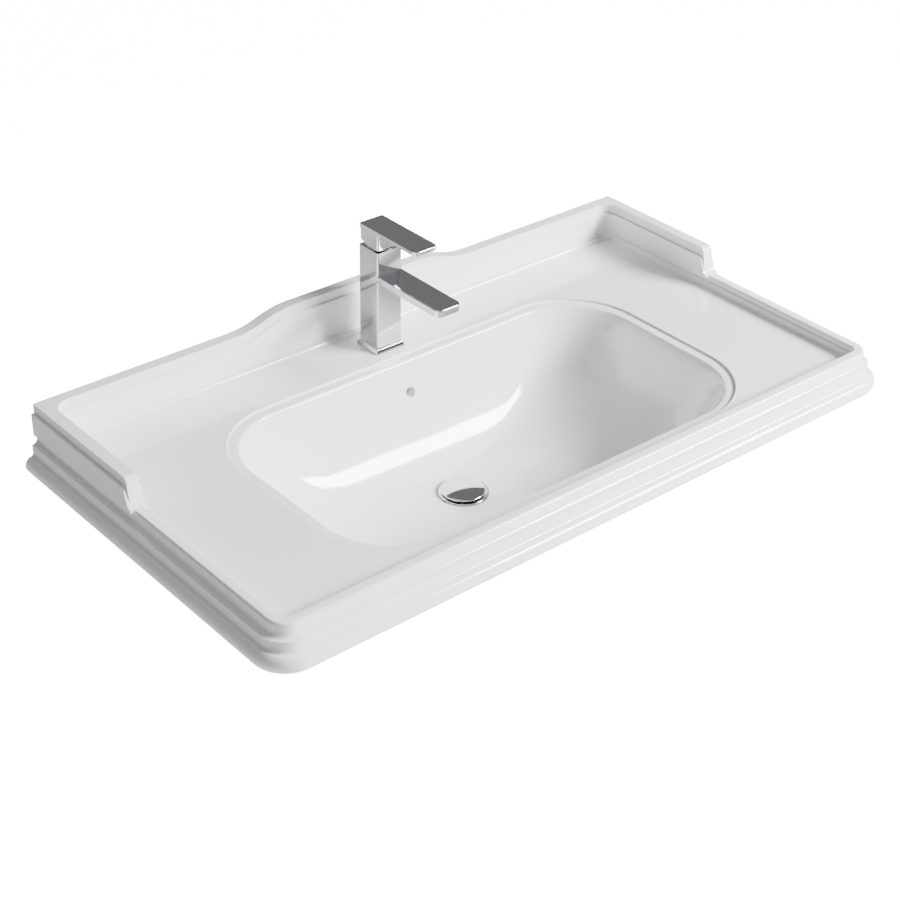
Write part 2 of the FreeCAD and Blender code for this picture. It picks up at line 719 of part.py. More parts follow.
def moving_disc():
    """Ceramic disc that slides over the ports, hollowed on its lower face."""
    body = new_body("moving_disc", "tap_y")
    face = circle(sketch_on(body, "disc_face", "XY_Plane"), "0", "disc_y", "disc_out")
    extrude(body, face, "bore_floor + 6.55", "bore_floor + 9")
    hollow = rounded(sketch_on(body, "disc_hollow", "XY_Plane"), "-5.2", "disc_y - 5.2",
                     "5.2", "disc_y + 5.2", "3.4")
    extrude(body, hollow, "bore_floor + 6", "bore_floor + 7.8", cut=True)
    return body


def disc_carrier():
    """Plastic block on the moving disc, with the socket for the spindle's ball."""
    body = new_body("disc_carrier", "tap_y")
    block = rounded(sketch_on(body, "carrier_block", "XY_Plane"), "-5.5", "disc_y - 6.5",
                    "5.5", "disc_y + 5", "1")
    extrude(body, block, "bore_floor + 9", "carrier_top")
    socket = circle(sketch_on(body, "carrier_socket", "XY_Plane"), "0", "0", "ball_round + 0.5")
    extrude(body, socket, "bore_floor + 9.2", "carrier_top + 1", cut=True)
    return body


def cartridge_housing():
    """Plastic shell of the cartridge, with the flange that its nut holds down."""
    return turned("cartridge_housing", "tap_y", [
        ("12.6", "bore_floor + 1.2"), ("bore / 2 - 0.2", "bore_floor + 1.2"),
        ("bore / 2 - 0.2", "nut_seat"), ("nut_bore / 2 - 0.3", "nut_seat"),
        ("nut_bore / 2 - 0.3", "nut_seat + 2"), ("neck + 0.3", "nut_seat + 2"),
        ("neck + 0.3", "rotor_top + 0.3"), ("12.6", "rotor_top + 0.3"),
    ])


def cartridge_rotor():
    """Part of the cartridge that turns with the lever: disc, neck, spindle slot and two guide rails."""
    body = turned("cartridge_rotor", "tap_y", [
        ("0", "rotor_foot"), ("12.3", "rotor_foot"), ("12.3", "rotor_top"),
        ("neck", "rotor_top"), ("neck", "neck_top"), ("0", "neck_top"),
    ])
    for side in (-1, 1):
        rail = rectangle(sketch_on(body, f"rail_{'left' if side < 0 else 'right'}", "XY_Plane"),
                         f"{side} * 6.8 - 0.9", "-8", f"{side} * 6.8 + 0.9", "8")
        extrude(body, rail, "bore_floor + 9.3", "rotor_foot + 1")
    slope = "tan(lift)"
    slot = outline(sketch_on(body, "spindle_slot", "YZ_Plane"), [
        ("spindle / 2 + 0.4", "rotor_foot - 1"), ("spindle / 2 + 0.4", "pivot"),
        (f"spindle / 2 + 0.6 + (neck_top + 1 - pivot) * {slope}", "neck_top + 1"),
        ("-(spindle / 2 + 0.4)", "neck_top + 1"), ("-(spindle / 2 + 0.4)", "pivot"),
        (f"-(spindle / 2 + 0.6 + (pivot - rotor_foot + 1) * {slope})", "rotor_foot - 1"),
    ])
    extrude(body, slot, "-(spindle / 2 + 0.3)", "spindle / 2 + 0.3", cut=True)
    pin = circle(sketch_on(body, "pin_hole", "YZ_Plane"), "0", "pivot", "pin")
    extrude(body, pin, "-(neck + 1)", "neck + 1", cut=True)
    return body


def pivot_pin():
    """Steel pin that the spindle tilts on."""
    body = new_body("pivot_pin", "tap_y")
    extrude(body, circle(sketch_on(body, "pin_round", "YZ_Plane"), "0", "pivot", "pin"),
            "-(neck - 0.4)", "neck - 0.4")
    return body


def cartridge_nut():
    """Brass ring nut over the cartridge's flange, with four key slots."""
    body = ring("cartridge_nut", "tap_y", "neck + 0.8", "nut_bore / 2 - 0.1", "nut_seat + 2", "nut_top")
    for name, half_x, half_y in (("across", "17", "2"), ("along", "2", "17")):
        slot = rectangle(sketch_on(body, f"key_slot_{name}", "XY_Plane"),
                         f"-{half_x}", f"-{half_y}", half_x, half_y)
        extrude(body, slot, "nut_top - 1.5", "nut_top + 1", cut=True)
    return body


def trim_collar():
    """Chromed collar that closes the top of the column under the lever."""
    return turned("trim_collar", "tap_y", [
        ("nut_bore / 2 - 2", "nut_top + 0.1"), ("nut_bore / 2 - 0.1", "nut_top + 0.1"),
        ("nut_bore / 2 - 0.1", "column_top"), ("column / 2 - 1.2", "column_top"),
        ("column / 2 - 1.2", "collar_top"), ("neck + 0.8", "collar_top"),
        ("neck + 0.8", "column_top - 0.4"), ("nut_bore / 2 - 2", "column_top - 0.4"),
    ])


# ---------------------------------------------------------------- lever
def lever_spindle():
    """Square steel spindle with a ball at its foot."""
    body = new_body("lever_spindle", "tap_y")
    shaft = rectangle(sketch_on(body, "spindle_square", "XY_Plane"),
                      "-spindle / 2", "-spindle / 2", "spindle / 2", "spindle / 2")
    extrude(body, shaft, "ball + 3", "spindle_top")
    revolve(body, outline(sketch_on(body, "spindle_ball", "XZ_Plane"), [
        ("0", "ball - ball_round"), ("ball_neck", "ball + sqrt(ball_round ^ 2 - ball_neck ^ 2)", "ball_round"),
        ("ball_neck", "ball + 3.5"), ("0", "ball + 3.5"),
    ]))
    hole = circle(sketch_on(body, "spindle_hole", "YZ_Plane"), "0", "pivot", "pin + 0.06")
    extrude(body, hole, "-spindle", "spindle", cut=True)
    return body


def lever_handle():
    """Square hub and flat blade of the lever, in one casting."""
    body = new_body("lever_handle", "tap_y")
    hub = rounded(sketch_on(body, "hub", "XY_Plane"), "-hub / 2", "-hub / 2", "hub / 2", "hub / 2", "hub_round")
    extrude(body, hub, "hub_foot", "blade_low + 0.5")
    blade = outline(sketch_on(body, "blade", "XY_Plane"), [
        ("2 - hub / 2", "blade_back"), ("-hub / 2", "blade_back - 2", "2"),
        ("-hub / 2", "blade_round - blade_front"), ("blade_round - hub / 2", "-blade_front", "blade_round"),
        ("hub / 2 - blade_round", "-blade_front"), ("hub / 2", "blade_round - blade_front", "blade_round"),
        ("hub / 2", "blade_back - 2"), ("hub / 2 - 2", "blade_back", "2"),
    ])
    extrude(body, blade, "blade_low", "blade_low + blade")
    fillet(body, "1", lambda edge: level_edge(size("blade_low + blade"))(edge)
           or (level_edge(size("blade_low"))(edge) and edge.CenterOfMass.y < -size("hub") / 2 - 1))
    relief = outline(sketch_on(body, "hub_relief", "YZ_Plane"), [
        ("relief_y", "hub_foot - 1"), ("hub / 2 + 2", "hub_foot - 1"),
        ("hub / 2 + 2", "hub_foot + (hub / 2 + 2 - relief_y) * tan(lift)"), ("relief_y", "hub_foot"),
    ])
    extrude(body, relief, "-hub", "hub", cut=True)
    cavity = circle(sketch_on(body, "hub_cavity", "XY_Plane"), "0", "0", "13")
    extrude(body, cavity, "hub_foot - 1", "socket_foot", cut=True)
    socket = rectangle(sketch_on(body, "hub_socket", "XY_Plane"), "-(spindle / 2 + 0.05)",
                       "-(spindle / 2 + 0.05)", "spindle / 2 + 0.05", "spindle / 2 + 0.05")
    extrude(body, socket, "socket_foot - 1", "spindle_top + 0.1", cut=True)
    thread = circle(sketch_on(body, "grub_hole", "XZ_Plane"), "0", "grub_z", "grub / 2")
    extrude(body, thread, "-(hub / 2 + 2)", "-(spindle / 2)", cut=True)
    seat = circle(sketch_on(body, "button_seat", "XZ_Plane"), "0", "grub_z", "button / 2")
    extrude(body, seat, "-(hub / 2 + 2)", "-(hub / 2 - 2.4)", cut=True)
    return body


def grub_screw():
    """Socket set screw that clamps the hub to the spindle."""
    body = new_body("grub_screw", "tap_y")
    extrude(body, circle(sketch_on(body, "grub_thread", "XZ_Plane"), "0", "grub_z", "grub / 2 - 0.05"),
            "-(spindle / 2 + 11)", "-(spindle / 2)")
    key = outline(sketch_on(body, "grub_key", "XZ_Plane"), [
        (f"1.4 * cos({60 * step})", f"grub_z + 1.4 * sin({60 * step})") for step in range(6)
    ])
    extrude(body, key, "-(spindle / 2 + 12)", "-(spindle / 2 + 8)", cut=True)
    return body


def index_button():
    """Small two-colour button that covers the set screw at the back of the hub."""
    body = new_body("index_button", "tap_y")
    extrude(body, circle(sketch_on(body, "button_face", "XZ_Plane"), "0", "grub_z", "button / 2 - 0.1"),
            "-(hub / 2 + 0.4)", "-(hub / 2 - 2.4)")
    return body


# ---------------------------------------------------------------- waste
def waste_body():
    """Chromed flange and threaded tail, with overflow slots and a bridge for the plug's latch."""
    body = turned("waste_body", "drain_y", [
        ("waste_thread / 2", "flange_low"), ("flange / 2", "flange_low"),
        ("flange / 2", "flange_top - 1"), ("flange / 2 - 1", "flange_top", "1"),
        ("flange / 2 - 4", "flange_top"), ("19.5", "flange_low + 1"), ("waste_bore / 2", "flange_low - 4"),
        ("waste_bore / 2", "waste_foot"), ("waste_thread / 2", "waste_foot"),
        ("waste_thread / 2", "tail_top"), ("waste_thread / 2 - 0.8", "tail_top"),
        ("waste_thread / 2 - 0.8", "tail_top + 2"), ("waste_thread / 2", "tail_top + 2"),
    ])
    slots = rectangle(sketch_on(body, "overflow_slots", "XZ_Plane"), "-7", "duct_foot + 1", "7", "duct_roof - 1")
    extrude(body, slots, "-waste_thread", "waste_thread", cut=True)
    bridge = rectangle(sketch_on(body, "bridge", "XY_Plane"), "-(waste_bore / 2 + 1)", "-5",
                       "waste_bore / 2 + 1", "5")
    extrude(body, bridge, "bridge_foot", "bridge_top")
    hole = circle(sketch_on(body, "bridge_hole", "XY_Plane"), "0", "0", "latch_neck + 0.1")
    extrude(body, hole, "bridge_foot - 1", "bridge_top + 1", cut=True)
    return body


def waste_top_gasket():
    """Rubber ring between the flange and the china."""
    return ring("waste_top_gasket", "drain_y", "waste_thread / 2 + 0.3", "flange / 2 - 2",
                "recess_floor", "flange_low")


def waste_lower_gasket():
    """Tapered rubber ring under the china."""
    return turned("waste_lower_gasket", "drain_y", [
        ("waste_thread / 2 + 0.1", "boss_foot"), ("waste_thread / 2 + 0.1", "boss_foot - 7"),
        ("29", "boss_foot - 7"), ("33", "boss_foot"),
    ])


def waste_washer():
    """Flat slip washer."""
    return ring("waste_washer", "drain_y", "waste_thread / 2 + 0.1", "31", "boss_foot - 8.5", "boss_foot - 7")


def waste_nut():
    """Hexagon back nut."""
    return hex_nut("waste_nut", "drain_y", "32", "waste_thread / 2", "boss_foot - 19", "boss_foot - 8.5")


def plug_latch():
    """Plastic push-and-release latch, snapped into the bridge."""
    body = turned("plug_latch", "drain_y", [
        ("0", "bridge_foot"), ("latch_neck", "bridge_foot"), ("latch_neck", "bridge_top"),
        ("7", "bridge_top"), ("7", "latch_top"), ("stem + 0.3", "latch_top"),
        ("stem + 0.3", "latch_floor"), ("0", "latch_floor"),
    ])
    return body


def plug_stem():
    """Brass stem that slides in the latch and screws into the cap."""
    return turned("plug_stem", "drain_y", [
        ("0", "stem_foot"), ("stem", "stem_foot"), ("stem", "cap_low"), ("3", "cap_low"),
        ("3", "cap_low + 3"), ("0", "cap_low + 3"),
    ])


def plug_cap():
    """Domed chromed cap."""
    return turned("plug_cap", "drain_y", [
        ("0", "cap_low + 3.1"), ("3.05", "cap_low + 3.1"), ("3.05", "cap_low"), ("plug / 2 - 3", "cap_low"),
        ("plug / 2", "cap_low + 1.6", "3"), ("plug / 2 - 2", "cap_low + 3.2", "2.2"),
        ("0", "cap_low + 6", "((plug / 2 - 2) ^ 2 + 2.8 ^ 2) / (2 * 2.8)"),
    ])


def plug_seal():
    """Rubber ring under the cap."""
    return ring("plug_seal", "drain_y", "20", "24.5", "cap_low - 2.2", "cap_low")


def plug_spring():
    """Spring that lifts the stem inside the latch."""
    body = new_body("plug_spring", "drain_y")
    wire = circle(sketch_on(body, "spring_wire", "XZ_Plane"), "3.2", "latch_floor + 0.6", "0.5")
    coil = body.newObject("PartDesign::AdditiveHelix", "spring_coil")
    coil.Profile = wire
    coil.ReferenceAxis = (wire, ["V_Axis"])
    coil.Mode = "pitch-height-angle"
    coil.Pitch = 1.9
    coil.setExpression("Height", bound("stem_foot - latch_floor - 1.2"))
    doc.recompute()
    return body


# ---------------------------------------------------------------- output
def write(bodies):
    """Check every object and write each sub-part to its own file."""
    doc.recompute()
    for item in doc.Objects:
        if "Invalid" in item.State or "Error" in item.State:
            raise RuntimeError(f"{item.Label}: {item.State}")
    for body in bodies:
        if body.Shape.isNull() or not body.Shape.isValid():
            raise RuntimeError(f"{body.Label}: bad shape")
    os.makedirs("parts", exist_ok=True)
    for body in bodies:
        body.Shape.exportStep(f"parts/{body.Label}.step")
        print(f"{body.Label}: {body.Shape.Volume / 1000:.2f} cm3, {len(body.Shape.Solids)} solid(s)")


SUB_PARTS = (
    basin,
    tap_base_gasket, tap_base_plate, tap_body, aerator_housing, aerator_insert, aerator_washer,
    fixing_stud, horseshoe_rubber, horseshoe_plate, fixing_nut,
    cartridge_seal, cartridge_base, fixed_disc, moving_disc, disc_carrier, cartridge_housing,
    cartridge_rotor, pivot_pin, cartridge_nut, trim_collar,
    lever_spindle, lever_handle, grub_screw, index_button,
    waste_body, waste_top_gasket, waste_lower_gasket, waste_washer, waste_nut,
    plug_latch, plug_stem, plug_cap, plug_seal, plug_spring,
)
write([make() for make in SUB_PARTS])
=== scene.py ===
"""Washbasin studio: finishes, smooth surfaces and small parts for a console washbasin with its tap."""

import functools
import json
import math

import bpy
from bpy.props import FloatProperty, PointerProperty, StringProperty
from mathutils import Matrix, Vector

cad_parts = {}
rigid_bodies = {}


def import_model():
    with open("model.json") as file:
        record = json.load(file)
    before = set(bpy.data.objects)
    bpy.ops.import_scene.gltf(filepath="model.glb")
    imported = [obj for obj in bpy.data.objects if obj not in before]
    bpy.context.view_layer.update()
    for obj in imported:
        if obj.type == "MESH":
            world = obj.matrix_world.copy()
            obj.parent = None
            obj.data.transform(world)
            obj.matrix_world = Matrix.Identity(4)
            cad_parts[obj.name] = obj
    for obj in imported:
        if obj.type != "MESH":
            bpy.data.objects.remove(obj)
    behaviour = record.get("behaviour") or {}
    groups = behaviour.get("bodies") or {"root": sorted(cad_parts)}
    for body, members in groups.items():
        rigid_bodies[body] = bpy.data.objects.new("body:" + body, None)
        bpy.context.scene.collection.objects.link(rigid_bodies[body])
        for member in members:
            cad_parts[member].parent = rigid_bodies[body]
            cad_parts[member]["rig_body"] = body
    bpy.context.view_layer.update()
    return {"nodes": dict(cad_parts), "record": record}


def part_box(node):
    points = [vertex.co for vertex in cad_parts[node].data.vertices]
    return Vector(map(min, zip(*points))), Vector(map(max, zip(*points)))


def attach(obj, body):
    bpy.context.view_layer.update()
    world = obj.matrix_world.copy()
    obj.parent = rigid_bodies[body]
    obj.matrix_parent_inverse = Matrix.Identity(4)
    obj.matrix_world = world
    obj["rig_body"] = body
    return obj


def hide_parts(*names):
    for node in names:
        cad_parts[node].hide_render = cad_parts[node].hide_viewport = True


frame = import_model()
NODES = frame["nodes"]

bl_info = {
    "name": "Washbasin studio",
    "version": (1, 0, 0),
    "blender": (4, 5, 0),
    "location": "View3D > Sidebar > Washbasin",
    "description": "Glazed china, chromed brass and the small parts of a console washbasin",
    "category": "Object",
}

# surfaces: lengths in metres, angles in radians
WELD = 2e-6
FLAT = math.radians(0.4)
CRISP = math.radians(30)
CREASE = math.radians(28)
ROUND_SEGMENTS = 3

# round on the crisp edges of the small pieces, in metres
SMALL_ROUNDS = {
    "index_button": 0.0005,
    "fixing_nut": 0.0005,
    "horseshoe_plate": 0.0003,
    "horseshoe_rubber": 0.0004,
    "waste_body": 0.0004,
    "waste_nut": 0.0012,
    "waste_washer": 0.0003,
    "waste_lower_gasket": 0.0008,
    "plug_seal": 0.0005,
}
# round of the tap's smaller castings, as a share of the tap's own
TAP_ROUND_SHARES = {"tap_base_plate": 0.7, "trim_collar": 0.5, "aerator_housing": 0.4}

# threads: shares of the pitch and of the depth, steps in a turn, gaps in metres
FLANK = 0.42
SUNK = 0.15
TURN_STEPS = 40
THREAD_CREASE = math.radians(25)
THREAD_START = 0.001
STUD_DEPTH = 0.0001
STUD_NUT_GAP = 0.0002
TAIL_THREAD_END = 0.018

# stage: places in metres, softboxes as width and height
FLOOR_SIZE = 24.0
AIM = (0.0, -0.26, 0.0)
KEY_PLACE, KEY_SIZE = (2.0, -2.3, 1.6), (1.5, 0.9)
FILL_PLACE, FILL_SIZE = (-0.6, -0.4, 2.6), (2.4, 1.6)
CAMERA_PLACE = (-1.36776, -1.80948, 1.27957)
CAMERA_RIGHT = (0.7663, -0.6423, 0.0169)
CAMERA_UP = (0.3340, 0.4207, 0.8435)
CAMERA_BACK = (-0.5489, -0.6407, 0.5369)
SENSOR_WIDTH = 36.0
CLIP_NEAR, CLIP_FAR = 0.1, 60.0
WHITE = (1.0, 1.0, 1.0, 1.0)
FLOOR_GLOW, FLOOR_GLOW_SEEN = 0.26, 15.0


# ---------------------------------------------------------------- settings
class BasinSettings(bpy.types.PropertyGroup):
    """Colours of the china."""

    glaze: StringProperty(
        name="Glaze", description="Colour of the glaze, as an sRGB hex value", default="f3f3f0")
    bisque: StringProperty(
        name="Bisque", description="Colour of the unglazed back", default="d9d2c3")


class TapSettings(bpy.types.PropertyGroup):
    """Sizes and colours of the tap."""

    edge: FloatProperty(
        name="Edge round", description="Polished round on the edges of the castings",
        default=0.0006, unit="LENGTH")
    chrome: StringProperty(
        name="Chrome", description="Colour of the plating", default="dfe1e3")
    thread_pitch: FloatProperty(
        name="Stud pitch", description="Pitch of the fixing stud's thread",
        default=0.00125, unit="LENGTH")


class WasteSettings(bpy.types.PropertyGroup):
    """Sizes of the waste's tail."""

    pitch: FloatProperty(
        name="Tail pitch", description="Pitch of the thread on the tail, 11 to the inch",
        default=0.00231, unit="LENGTH")
    crest: FloatProperty(
        name="Thread crest", description="How far the thread's crests show",
        default=0.0005, unit="LENGTH")
    tail: FloatProperty(
        name="Tail radius", description="Radius of the tail", default=0.0209, unit="LENGTH")


class StageSettings(bpy.types.PropertyGroup):
    """Floor, lights and camera."""

    floor: FloatProperty(
        name="Floor level", description="Height of the floor", default=-0.75, unit="LENGTH")
    lens: FloatProperty(
        name="Lens", description="Focal length in millimetres", default=75.87, min=10, max=300)
    key: FloatProperty(
        name="Key light", description="Power of the main softbox, in watts", default=470, min=0)
    fill: FloatProperty(
        name="Fill light", description="Power of the fill softbox, in watts", default=14, min=0)
    sky: FloatProperty(
        name="Ambient", description="Strength of the plain surroundings", default=0.2, min=0)


# ---------------------------------------------------------------- materials
def linear(code):
    """Linear RGBA from an sRGB hex value."""
    values = [int(code[i:i + 2], 16) / 255 for i in (0, 2, 4)]
    return tuple(v / 12.92 if v <= 0.04045 else ((v + 0.055) / 1.055) ** 2.4
                 for v in values) + (1.0,)


def add_node(tree, kind, links=None, values=None, **settings):
    """Add a node, set its properties and constants, and link its inputs to (node, output) pairs."""
    node = tree.nodes.new(kind)
    for name, value in settings.items():
        setattr(node, name, value)
    for socket, value in (values or {}).items():
        node.inputs[socket].default_value = value
    for socket, (source, output) in (links or {}).items():
        tree.links.new(source.outputs[output], node.inputs[socket])
    return node


def new_material(name):
    """Material with a principled shader: itself, its tree, the shader and the coordinates."""
    material = bpy.data.materials.new(name)
    material.use_nodes = True
    tree = material.node_tree
    tree.nodes.clear()
    shader = add_node(tree, "ShaderNodeBsdfPrincipled")
    add_node(tree, "ShaderNodeOutputMaterial", {"Surface": (shader, "BSDF")})
    place = add_node(tree, "ShaderNodeTexCoord")
    return material, tree, shader, place


def set_shader(shader, **values):
    """Set the shader's own sockets; an underscore stands for a space."""
    for name, value in values.items():
        shader.inputs[name.replace("_", " ")].default_value = value


def noise(tree, place, scale, detail=2.0, roughness=0.5, output="Object"):
    """Noise with so many blotches to the metre."""
    return add_node(tree, "ShaderNodeTexNoise", {"Vector": (place, output)},
                    {"Scale": scale, "Detail": detail, "Roughness": roughness})


def spread(tree, source, output, low, high, shader, socket):
    """Remap a 0 to 1 pattern to a small range and feed a shader socket with it."""
    remap = add_node(tree, "ShaderNodeMapRange", {"Value": (source, output)},
                     {"To Min": low, "To Max": high})
    tree.links.new(remap.outputs["Result"], shader.inputs[socket])


def bump(tree, source, output, distance, strength, shader):
    """Raise the surface by a pattern."""
    relief = add_node(tree, "ShaderNodeBump", {"Height": (source, output)},
                      {"Strength": strength, "Distance": distance})
    tree.links.new(relief.outputs["Normal"], shader.inputs["Normal"])


def mixed_colour(tree, source, output, first, second, shader):
    """Vary the base colour between two tones."""
    mix = add_node(tree, "ShaderNodeMix", {"Factor": (source, output)}, data_type="RGBA")
    tones = [socket for socket in mix.inputs if socket.type == "RGBA"]
    tones[0].default_value, tones[1].default_value = first, second
    result = next(socket for socket in mix.outputs if socket.type == "RGBA")
    tree.links.new(result, shader.inputs["Base Color"])


def glazed_china(glaze, bisque):
    """Vitreous china: fired white body under a thick clear glaze, unglazed on the wall face."""
    material, tree, shader, place = new_material("glazed vitreous china")
    # the glaze gives one sharp highlight over a slightly soft white
    set_shader(shader, IOR=1.52, Coat_Weight=0.35, Coat_Roughness=0.03, Coat_IOR=1.5)
    # the glaze pools in waves about 30 mm apart, which only bends its reflections a little
    waves = noise(tree, place, 33.0)
    pits = noise(tree, place, 420.0)
    split = add_node(tree, "ShaderNodeSeparateXYZ", {"Vector": (place, "Object")})
    # the glaze gives out between 0.9 and 0.4 mm from the wall plane
    bare = add_node(tree, "ShaderNodeMapRange", {"Value": (split, "Y")},
                    {"From Min": -0.0009, "From Max": -0.0004})
    mixed_colour(tree, bare, "Result", linear(glaze), linear(bisque), shader)
    rough = add_node(tree, "ShaderNodeMapRange", {"Value": (pits, "Fac")},
                     {"To Min": 0.07, "To Max": 0.13})
    rougher = add_node(tree, "ShaderNodeMath", {0: (bare, "Result"), 1: (rough, "Result")},
                       operation="MAXIMUM")
    tree.links.new(rougher.outputs[0], shader.inputs["Roughness"])
    bump(tree, waves, "Fac", 0.0008, 0.05, shader)
    return material


def plated_chrome(colour):
    """Polished brass under bright chrome: mirror-like, with the faint haze of wiping."""
    material, tree, shader, place = new_material("bright chrome plate")
    set_shader(shader, Metallic=1.0, Base_Color=linear(colour))
    haze = noise(tree, place, 55.0, 3.0, 0.6)
    spread(tree, haze, "Fac", 0.035, 0.10, shader, "Roughness")
    return material


def turned_brass():
    """Brass turned on a lathe: yellow, with tool rings 0.8 mm apart, coarser than real ones."""
    material, tree, shader, place = new_material("turned brass")
    set_shader(shader, Metallic=1.0)
    rings = add_node(tree, "ShaderNodeTexWave", {"Vector": (place, "Object")},
                     {"Scale": 400.0, "Distortion": 0.6, "Detail": 2.0}, bands_direction="Z")
    patina = noise(tree, place, 60.0, 3.0)
    mixed_colour(tree, patina, "Fac", linear("c9a85c"), linear("a8873f"), shader)
    spread(tree, rings, "Fac", 0.22, 0.34, shader, "Roughness")
    bump(tree, rings, "Fac", 0.0001, 0.3, shader)
    return material


def brushed_steel():
    """Cold-rolled stainless steel: grey, with a fine grain along the sheet."""
    material, tree, shader, place = new_material("stainless steel")
    set_shader(shader, Metallic=1.0)
    turn = add_node(tree, "ShaderNodeMapping", {"Vector": (place, "Object")},
                    {"Scale": (40.0, 1500.0, 1500.0)})
    grain = noise(tree, turn, 1.0, output="Vector")
    mixed_colour(tree, grain, "Fac", linear("a9abae"), linear("bfc1c3"), shader)
    spread(tree, grain, "Fac", 0.25, 0.38, shader, "Roughness")
    return material


def moulded_rubber():
    """Black EPDM rubber: dull, with a fine moulded tooth."""
    material, tree, shader, place = new_material("EPDM rubber")
    set_shader(shader, IOR=1.5)
    tooth = noise(tree, place, 900.0, roughness=0.6)
    mixed_colour(tree, tooth, "Fac", linear("1b1b1c"), linear("2a2a2b"), shader)
    spread(tree, tooth, "Fac", 0.55, 0.75, shader, "Roughness")
    bump(tree, tooth, "Fac", 0.0002, 0.35, shader)
    return material


def moulded_plastic(name, first, second, low, high):
    """Injection-moulded plastic: even colour, faint flow marks about 8 mm apart."""
    material, tree, shader, place = new_material(name)
    set_shader(shader, IOR=1.48)
    flow = noise(tree, place, 120.0)
    mixed_colour(tree, flow, "Fac", linear(first), linear(second), shader)
    spread(tree, flow, "Fac", low, high, shader, "Roughness")
    bump(tree, flow, "Fac", 0.0001, 0.15, shader)
    return material


def ground_alumina():
    """Alumina disc, ground flat: off-white and dull, with a fine speckle."""
    material, tree, shader, place = new_material("ground alumina")
    set_shader(shader, IOR=1.7)
    grit = noise(tree, place, 1400.0, 1.0)
    mixed_colour(tree, grit, "Fac", linear("efece2"), linear("dfdacb"), shader)
    spread(tree, grit, "Fac", 0.35, 0.5, shader, "Roughness")
    return material


def button_marks():
    """Glossy index button, split on its middle: one half red for hot, the other blue for cold."""
    material, tree, shader, place = new_material("two-colour index plastic")
    set_shader(shader, IOR=1.49, Coat_Weight=0.5, Coat_Roughness=0.04)
    split = add_node(tree, "ShaderNodeSeparateXYZ", {"Vector": (place, "Object")})
    side = add_node(tree, "ShaderNodeMath", {0: (split, "X")}, {1: 0.0}, operation="GREATER_THAN")
    mixed_colour(tree, side, "Value", linear("b3202a"), linear("1f55a8"), shader)
    speck = noise(tree, place, 500.0, 1.0)
    spread(tree, speck, "Fac", 0.12, 0.2, shader, "Roughness")
    return material


def studio_floor():
    """Seamless pale paper."""
    material, tree, shader, place = new_material("seamless paper")
    set_shader(shader, Specular_IOR_Level=0.1, Emission_Color=WHITE, Roughness=0.9)
    # the camera sees the paper blown out to white; the washbasin gets little light back from it
    path = add_node(tree, "ShaderNodeLightPath")
    spread(tree, path, "Is Camera Ray", FLOOR_GLOW, FLOOR_GLOW_SEEN, shader, "Emission Strength")
    # from below the paper is clear, so that the underside can be seen
    clear = add_node(tree, "ShaderNodeBsdfTransparent")
    side = add_node(tree, "ShaderNodeNewGeometry")
    seen = add_node(tree, "ShaderNodeMixShader",
                    {0: (side, "Backfacing"), 1: (shader, "BSDF"), 2: (clear, "BSDF")})
    tree.links.new(seen.outputs[0], tree.nodes["Material Output"].inputs["Surface"])
    mixed_colour(tree, noise(tree, place, 60.0), "Fac", linear("f6f6f6"), linear("f8f8f8"), shader)
    return material


@functools.cache
def finishes():
    """Every material by the record's slot, made once."""
    basin, tap = bpy.context.scene.washbasin_basin, bpy.context.scene.washbasin_tap
    return {
        "china": glazed_china(basin.glaze, basin.bisque),
        "chrome": plated_chrome(tap.chrome),
        "brass": turned_brass(),
        "steel": brushed_steel(),
        "rubber": moulded_rubber(),
        "white_plastic": moulded_plastic("moulded acetal", "e8e7e2", "dddcd6", 0.32, 0.42),
        "grey_plastic": moulded_plastic("moulded ABS", "6a6c6e", "5d5f61", 0.4, 0.5),
        "button_plastic": button_marks(),
        "disc_ceramic": ground_alumina(),
    }


def paint(obj, material):
    """Give the whole object one material."""
    obj.data.materials.clear()
    obj.data.materials.append(material)
    for face in obj.data.polygons:
        face.material_index = 0


def slot_of(node):
    """The record's material slot of a CAD node."""
    return next(item["material_slot"] for item in frame["record"]["subparts"]
                if item["node"] == node)


def paint_nodes(*names):
    """Finish CAD nodes as they are."""
    for name in names:
        paint(NODES[name], finishes()[slot_of(name)])


# ---------------------------------------------------------------- modelling
def clear_selection():
    """Nothing selected and nothing active."""
    if bpy.context.object and bpy.context.object.mode != "OBJECT":
        bpy.ops.object.mode_set(mode="OBJECT")
    bpy.ops.object.select_all(action="DESELECT")
    bpy.context.view_layer.objects.active = None


def make_active(obj):
    """Select one object alone."""
    clear_selection()
    obj.select_set(True)
    bpy.context.view_layer.objects.active = obj


def place_in_mesh(obj):
    """Put the object's place into its mesh."""
    make_active(obj)
    bpy.ops.object.transform_apply(location=True, rotation=True, scale=True)


def round_edges(obj, width):
    """Bevel the crisp edges."""
    bevel = obj.modifiers.new("edges", "BEVEL")
    bevel.width = width
    bevel.segments = ROUND_SEGMENTS
    bevel.limit_method = "ANGLE"
    bevel.angle_limit = CRISP
    bevel.use_clamp_overlap = False
    bpy.ops.object.modifier_apply(modifier="edges")


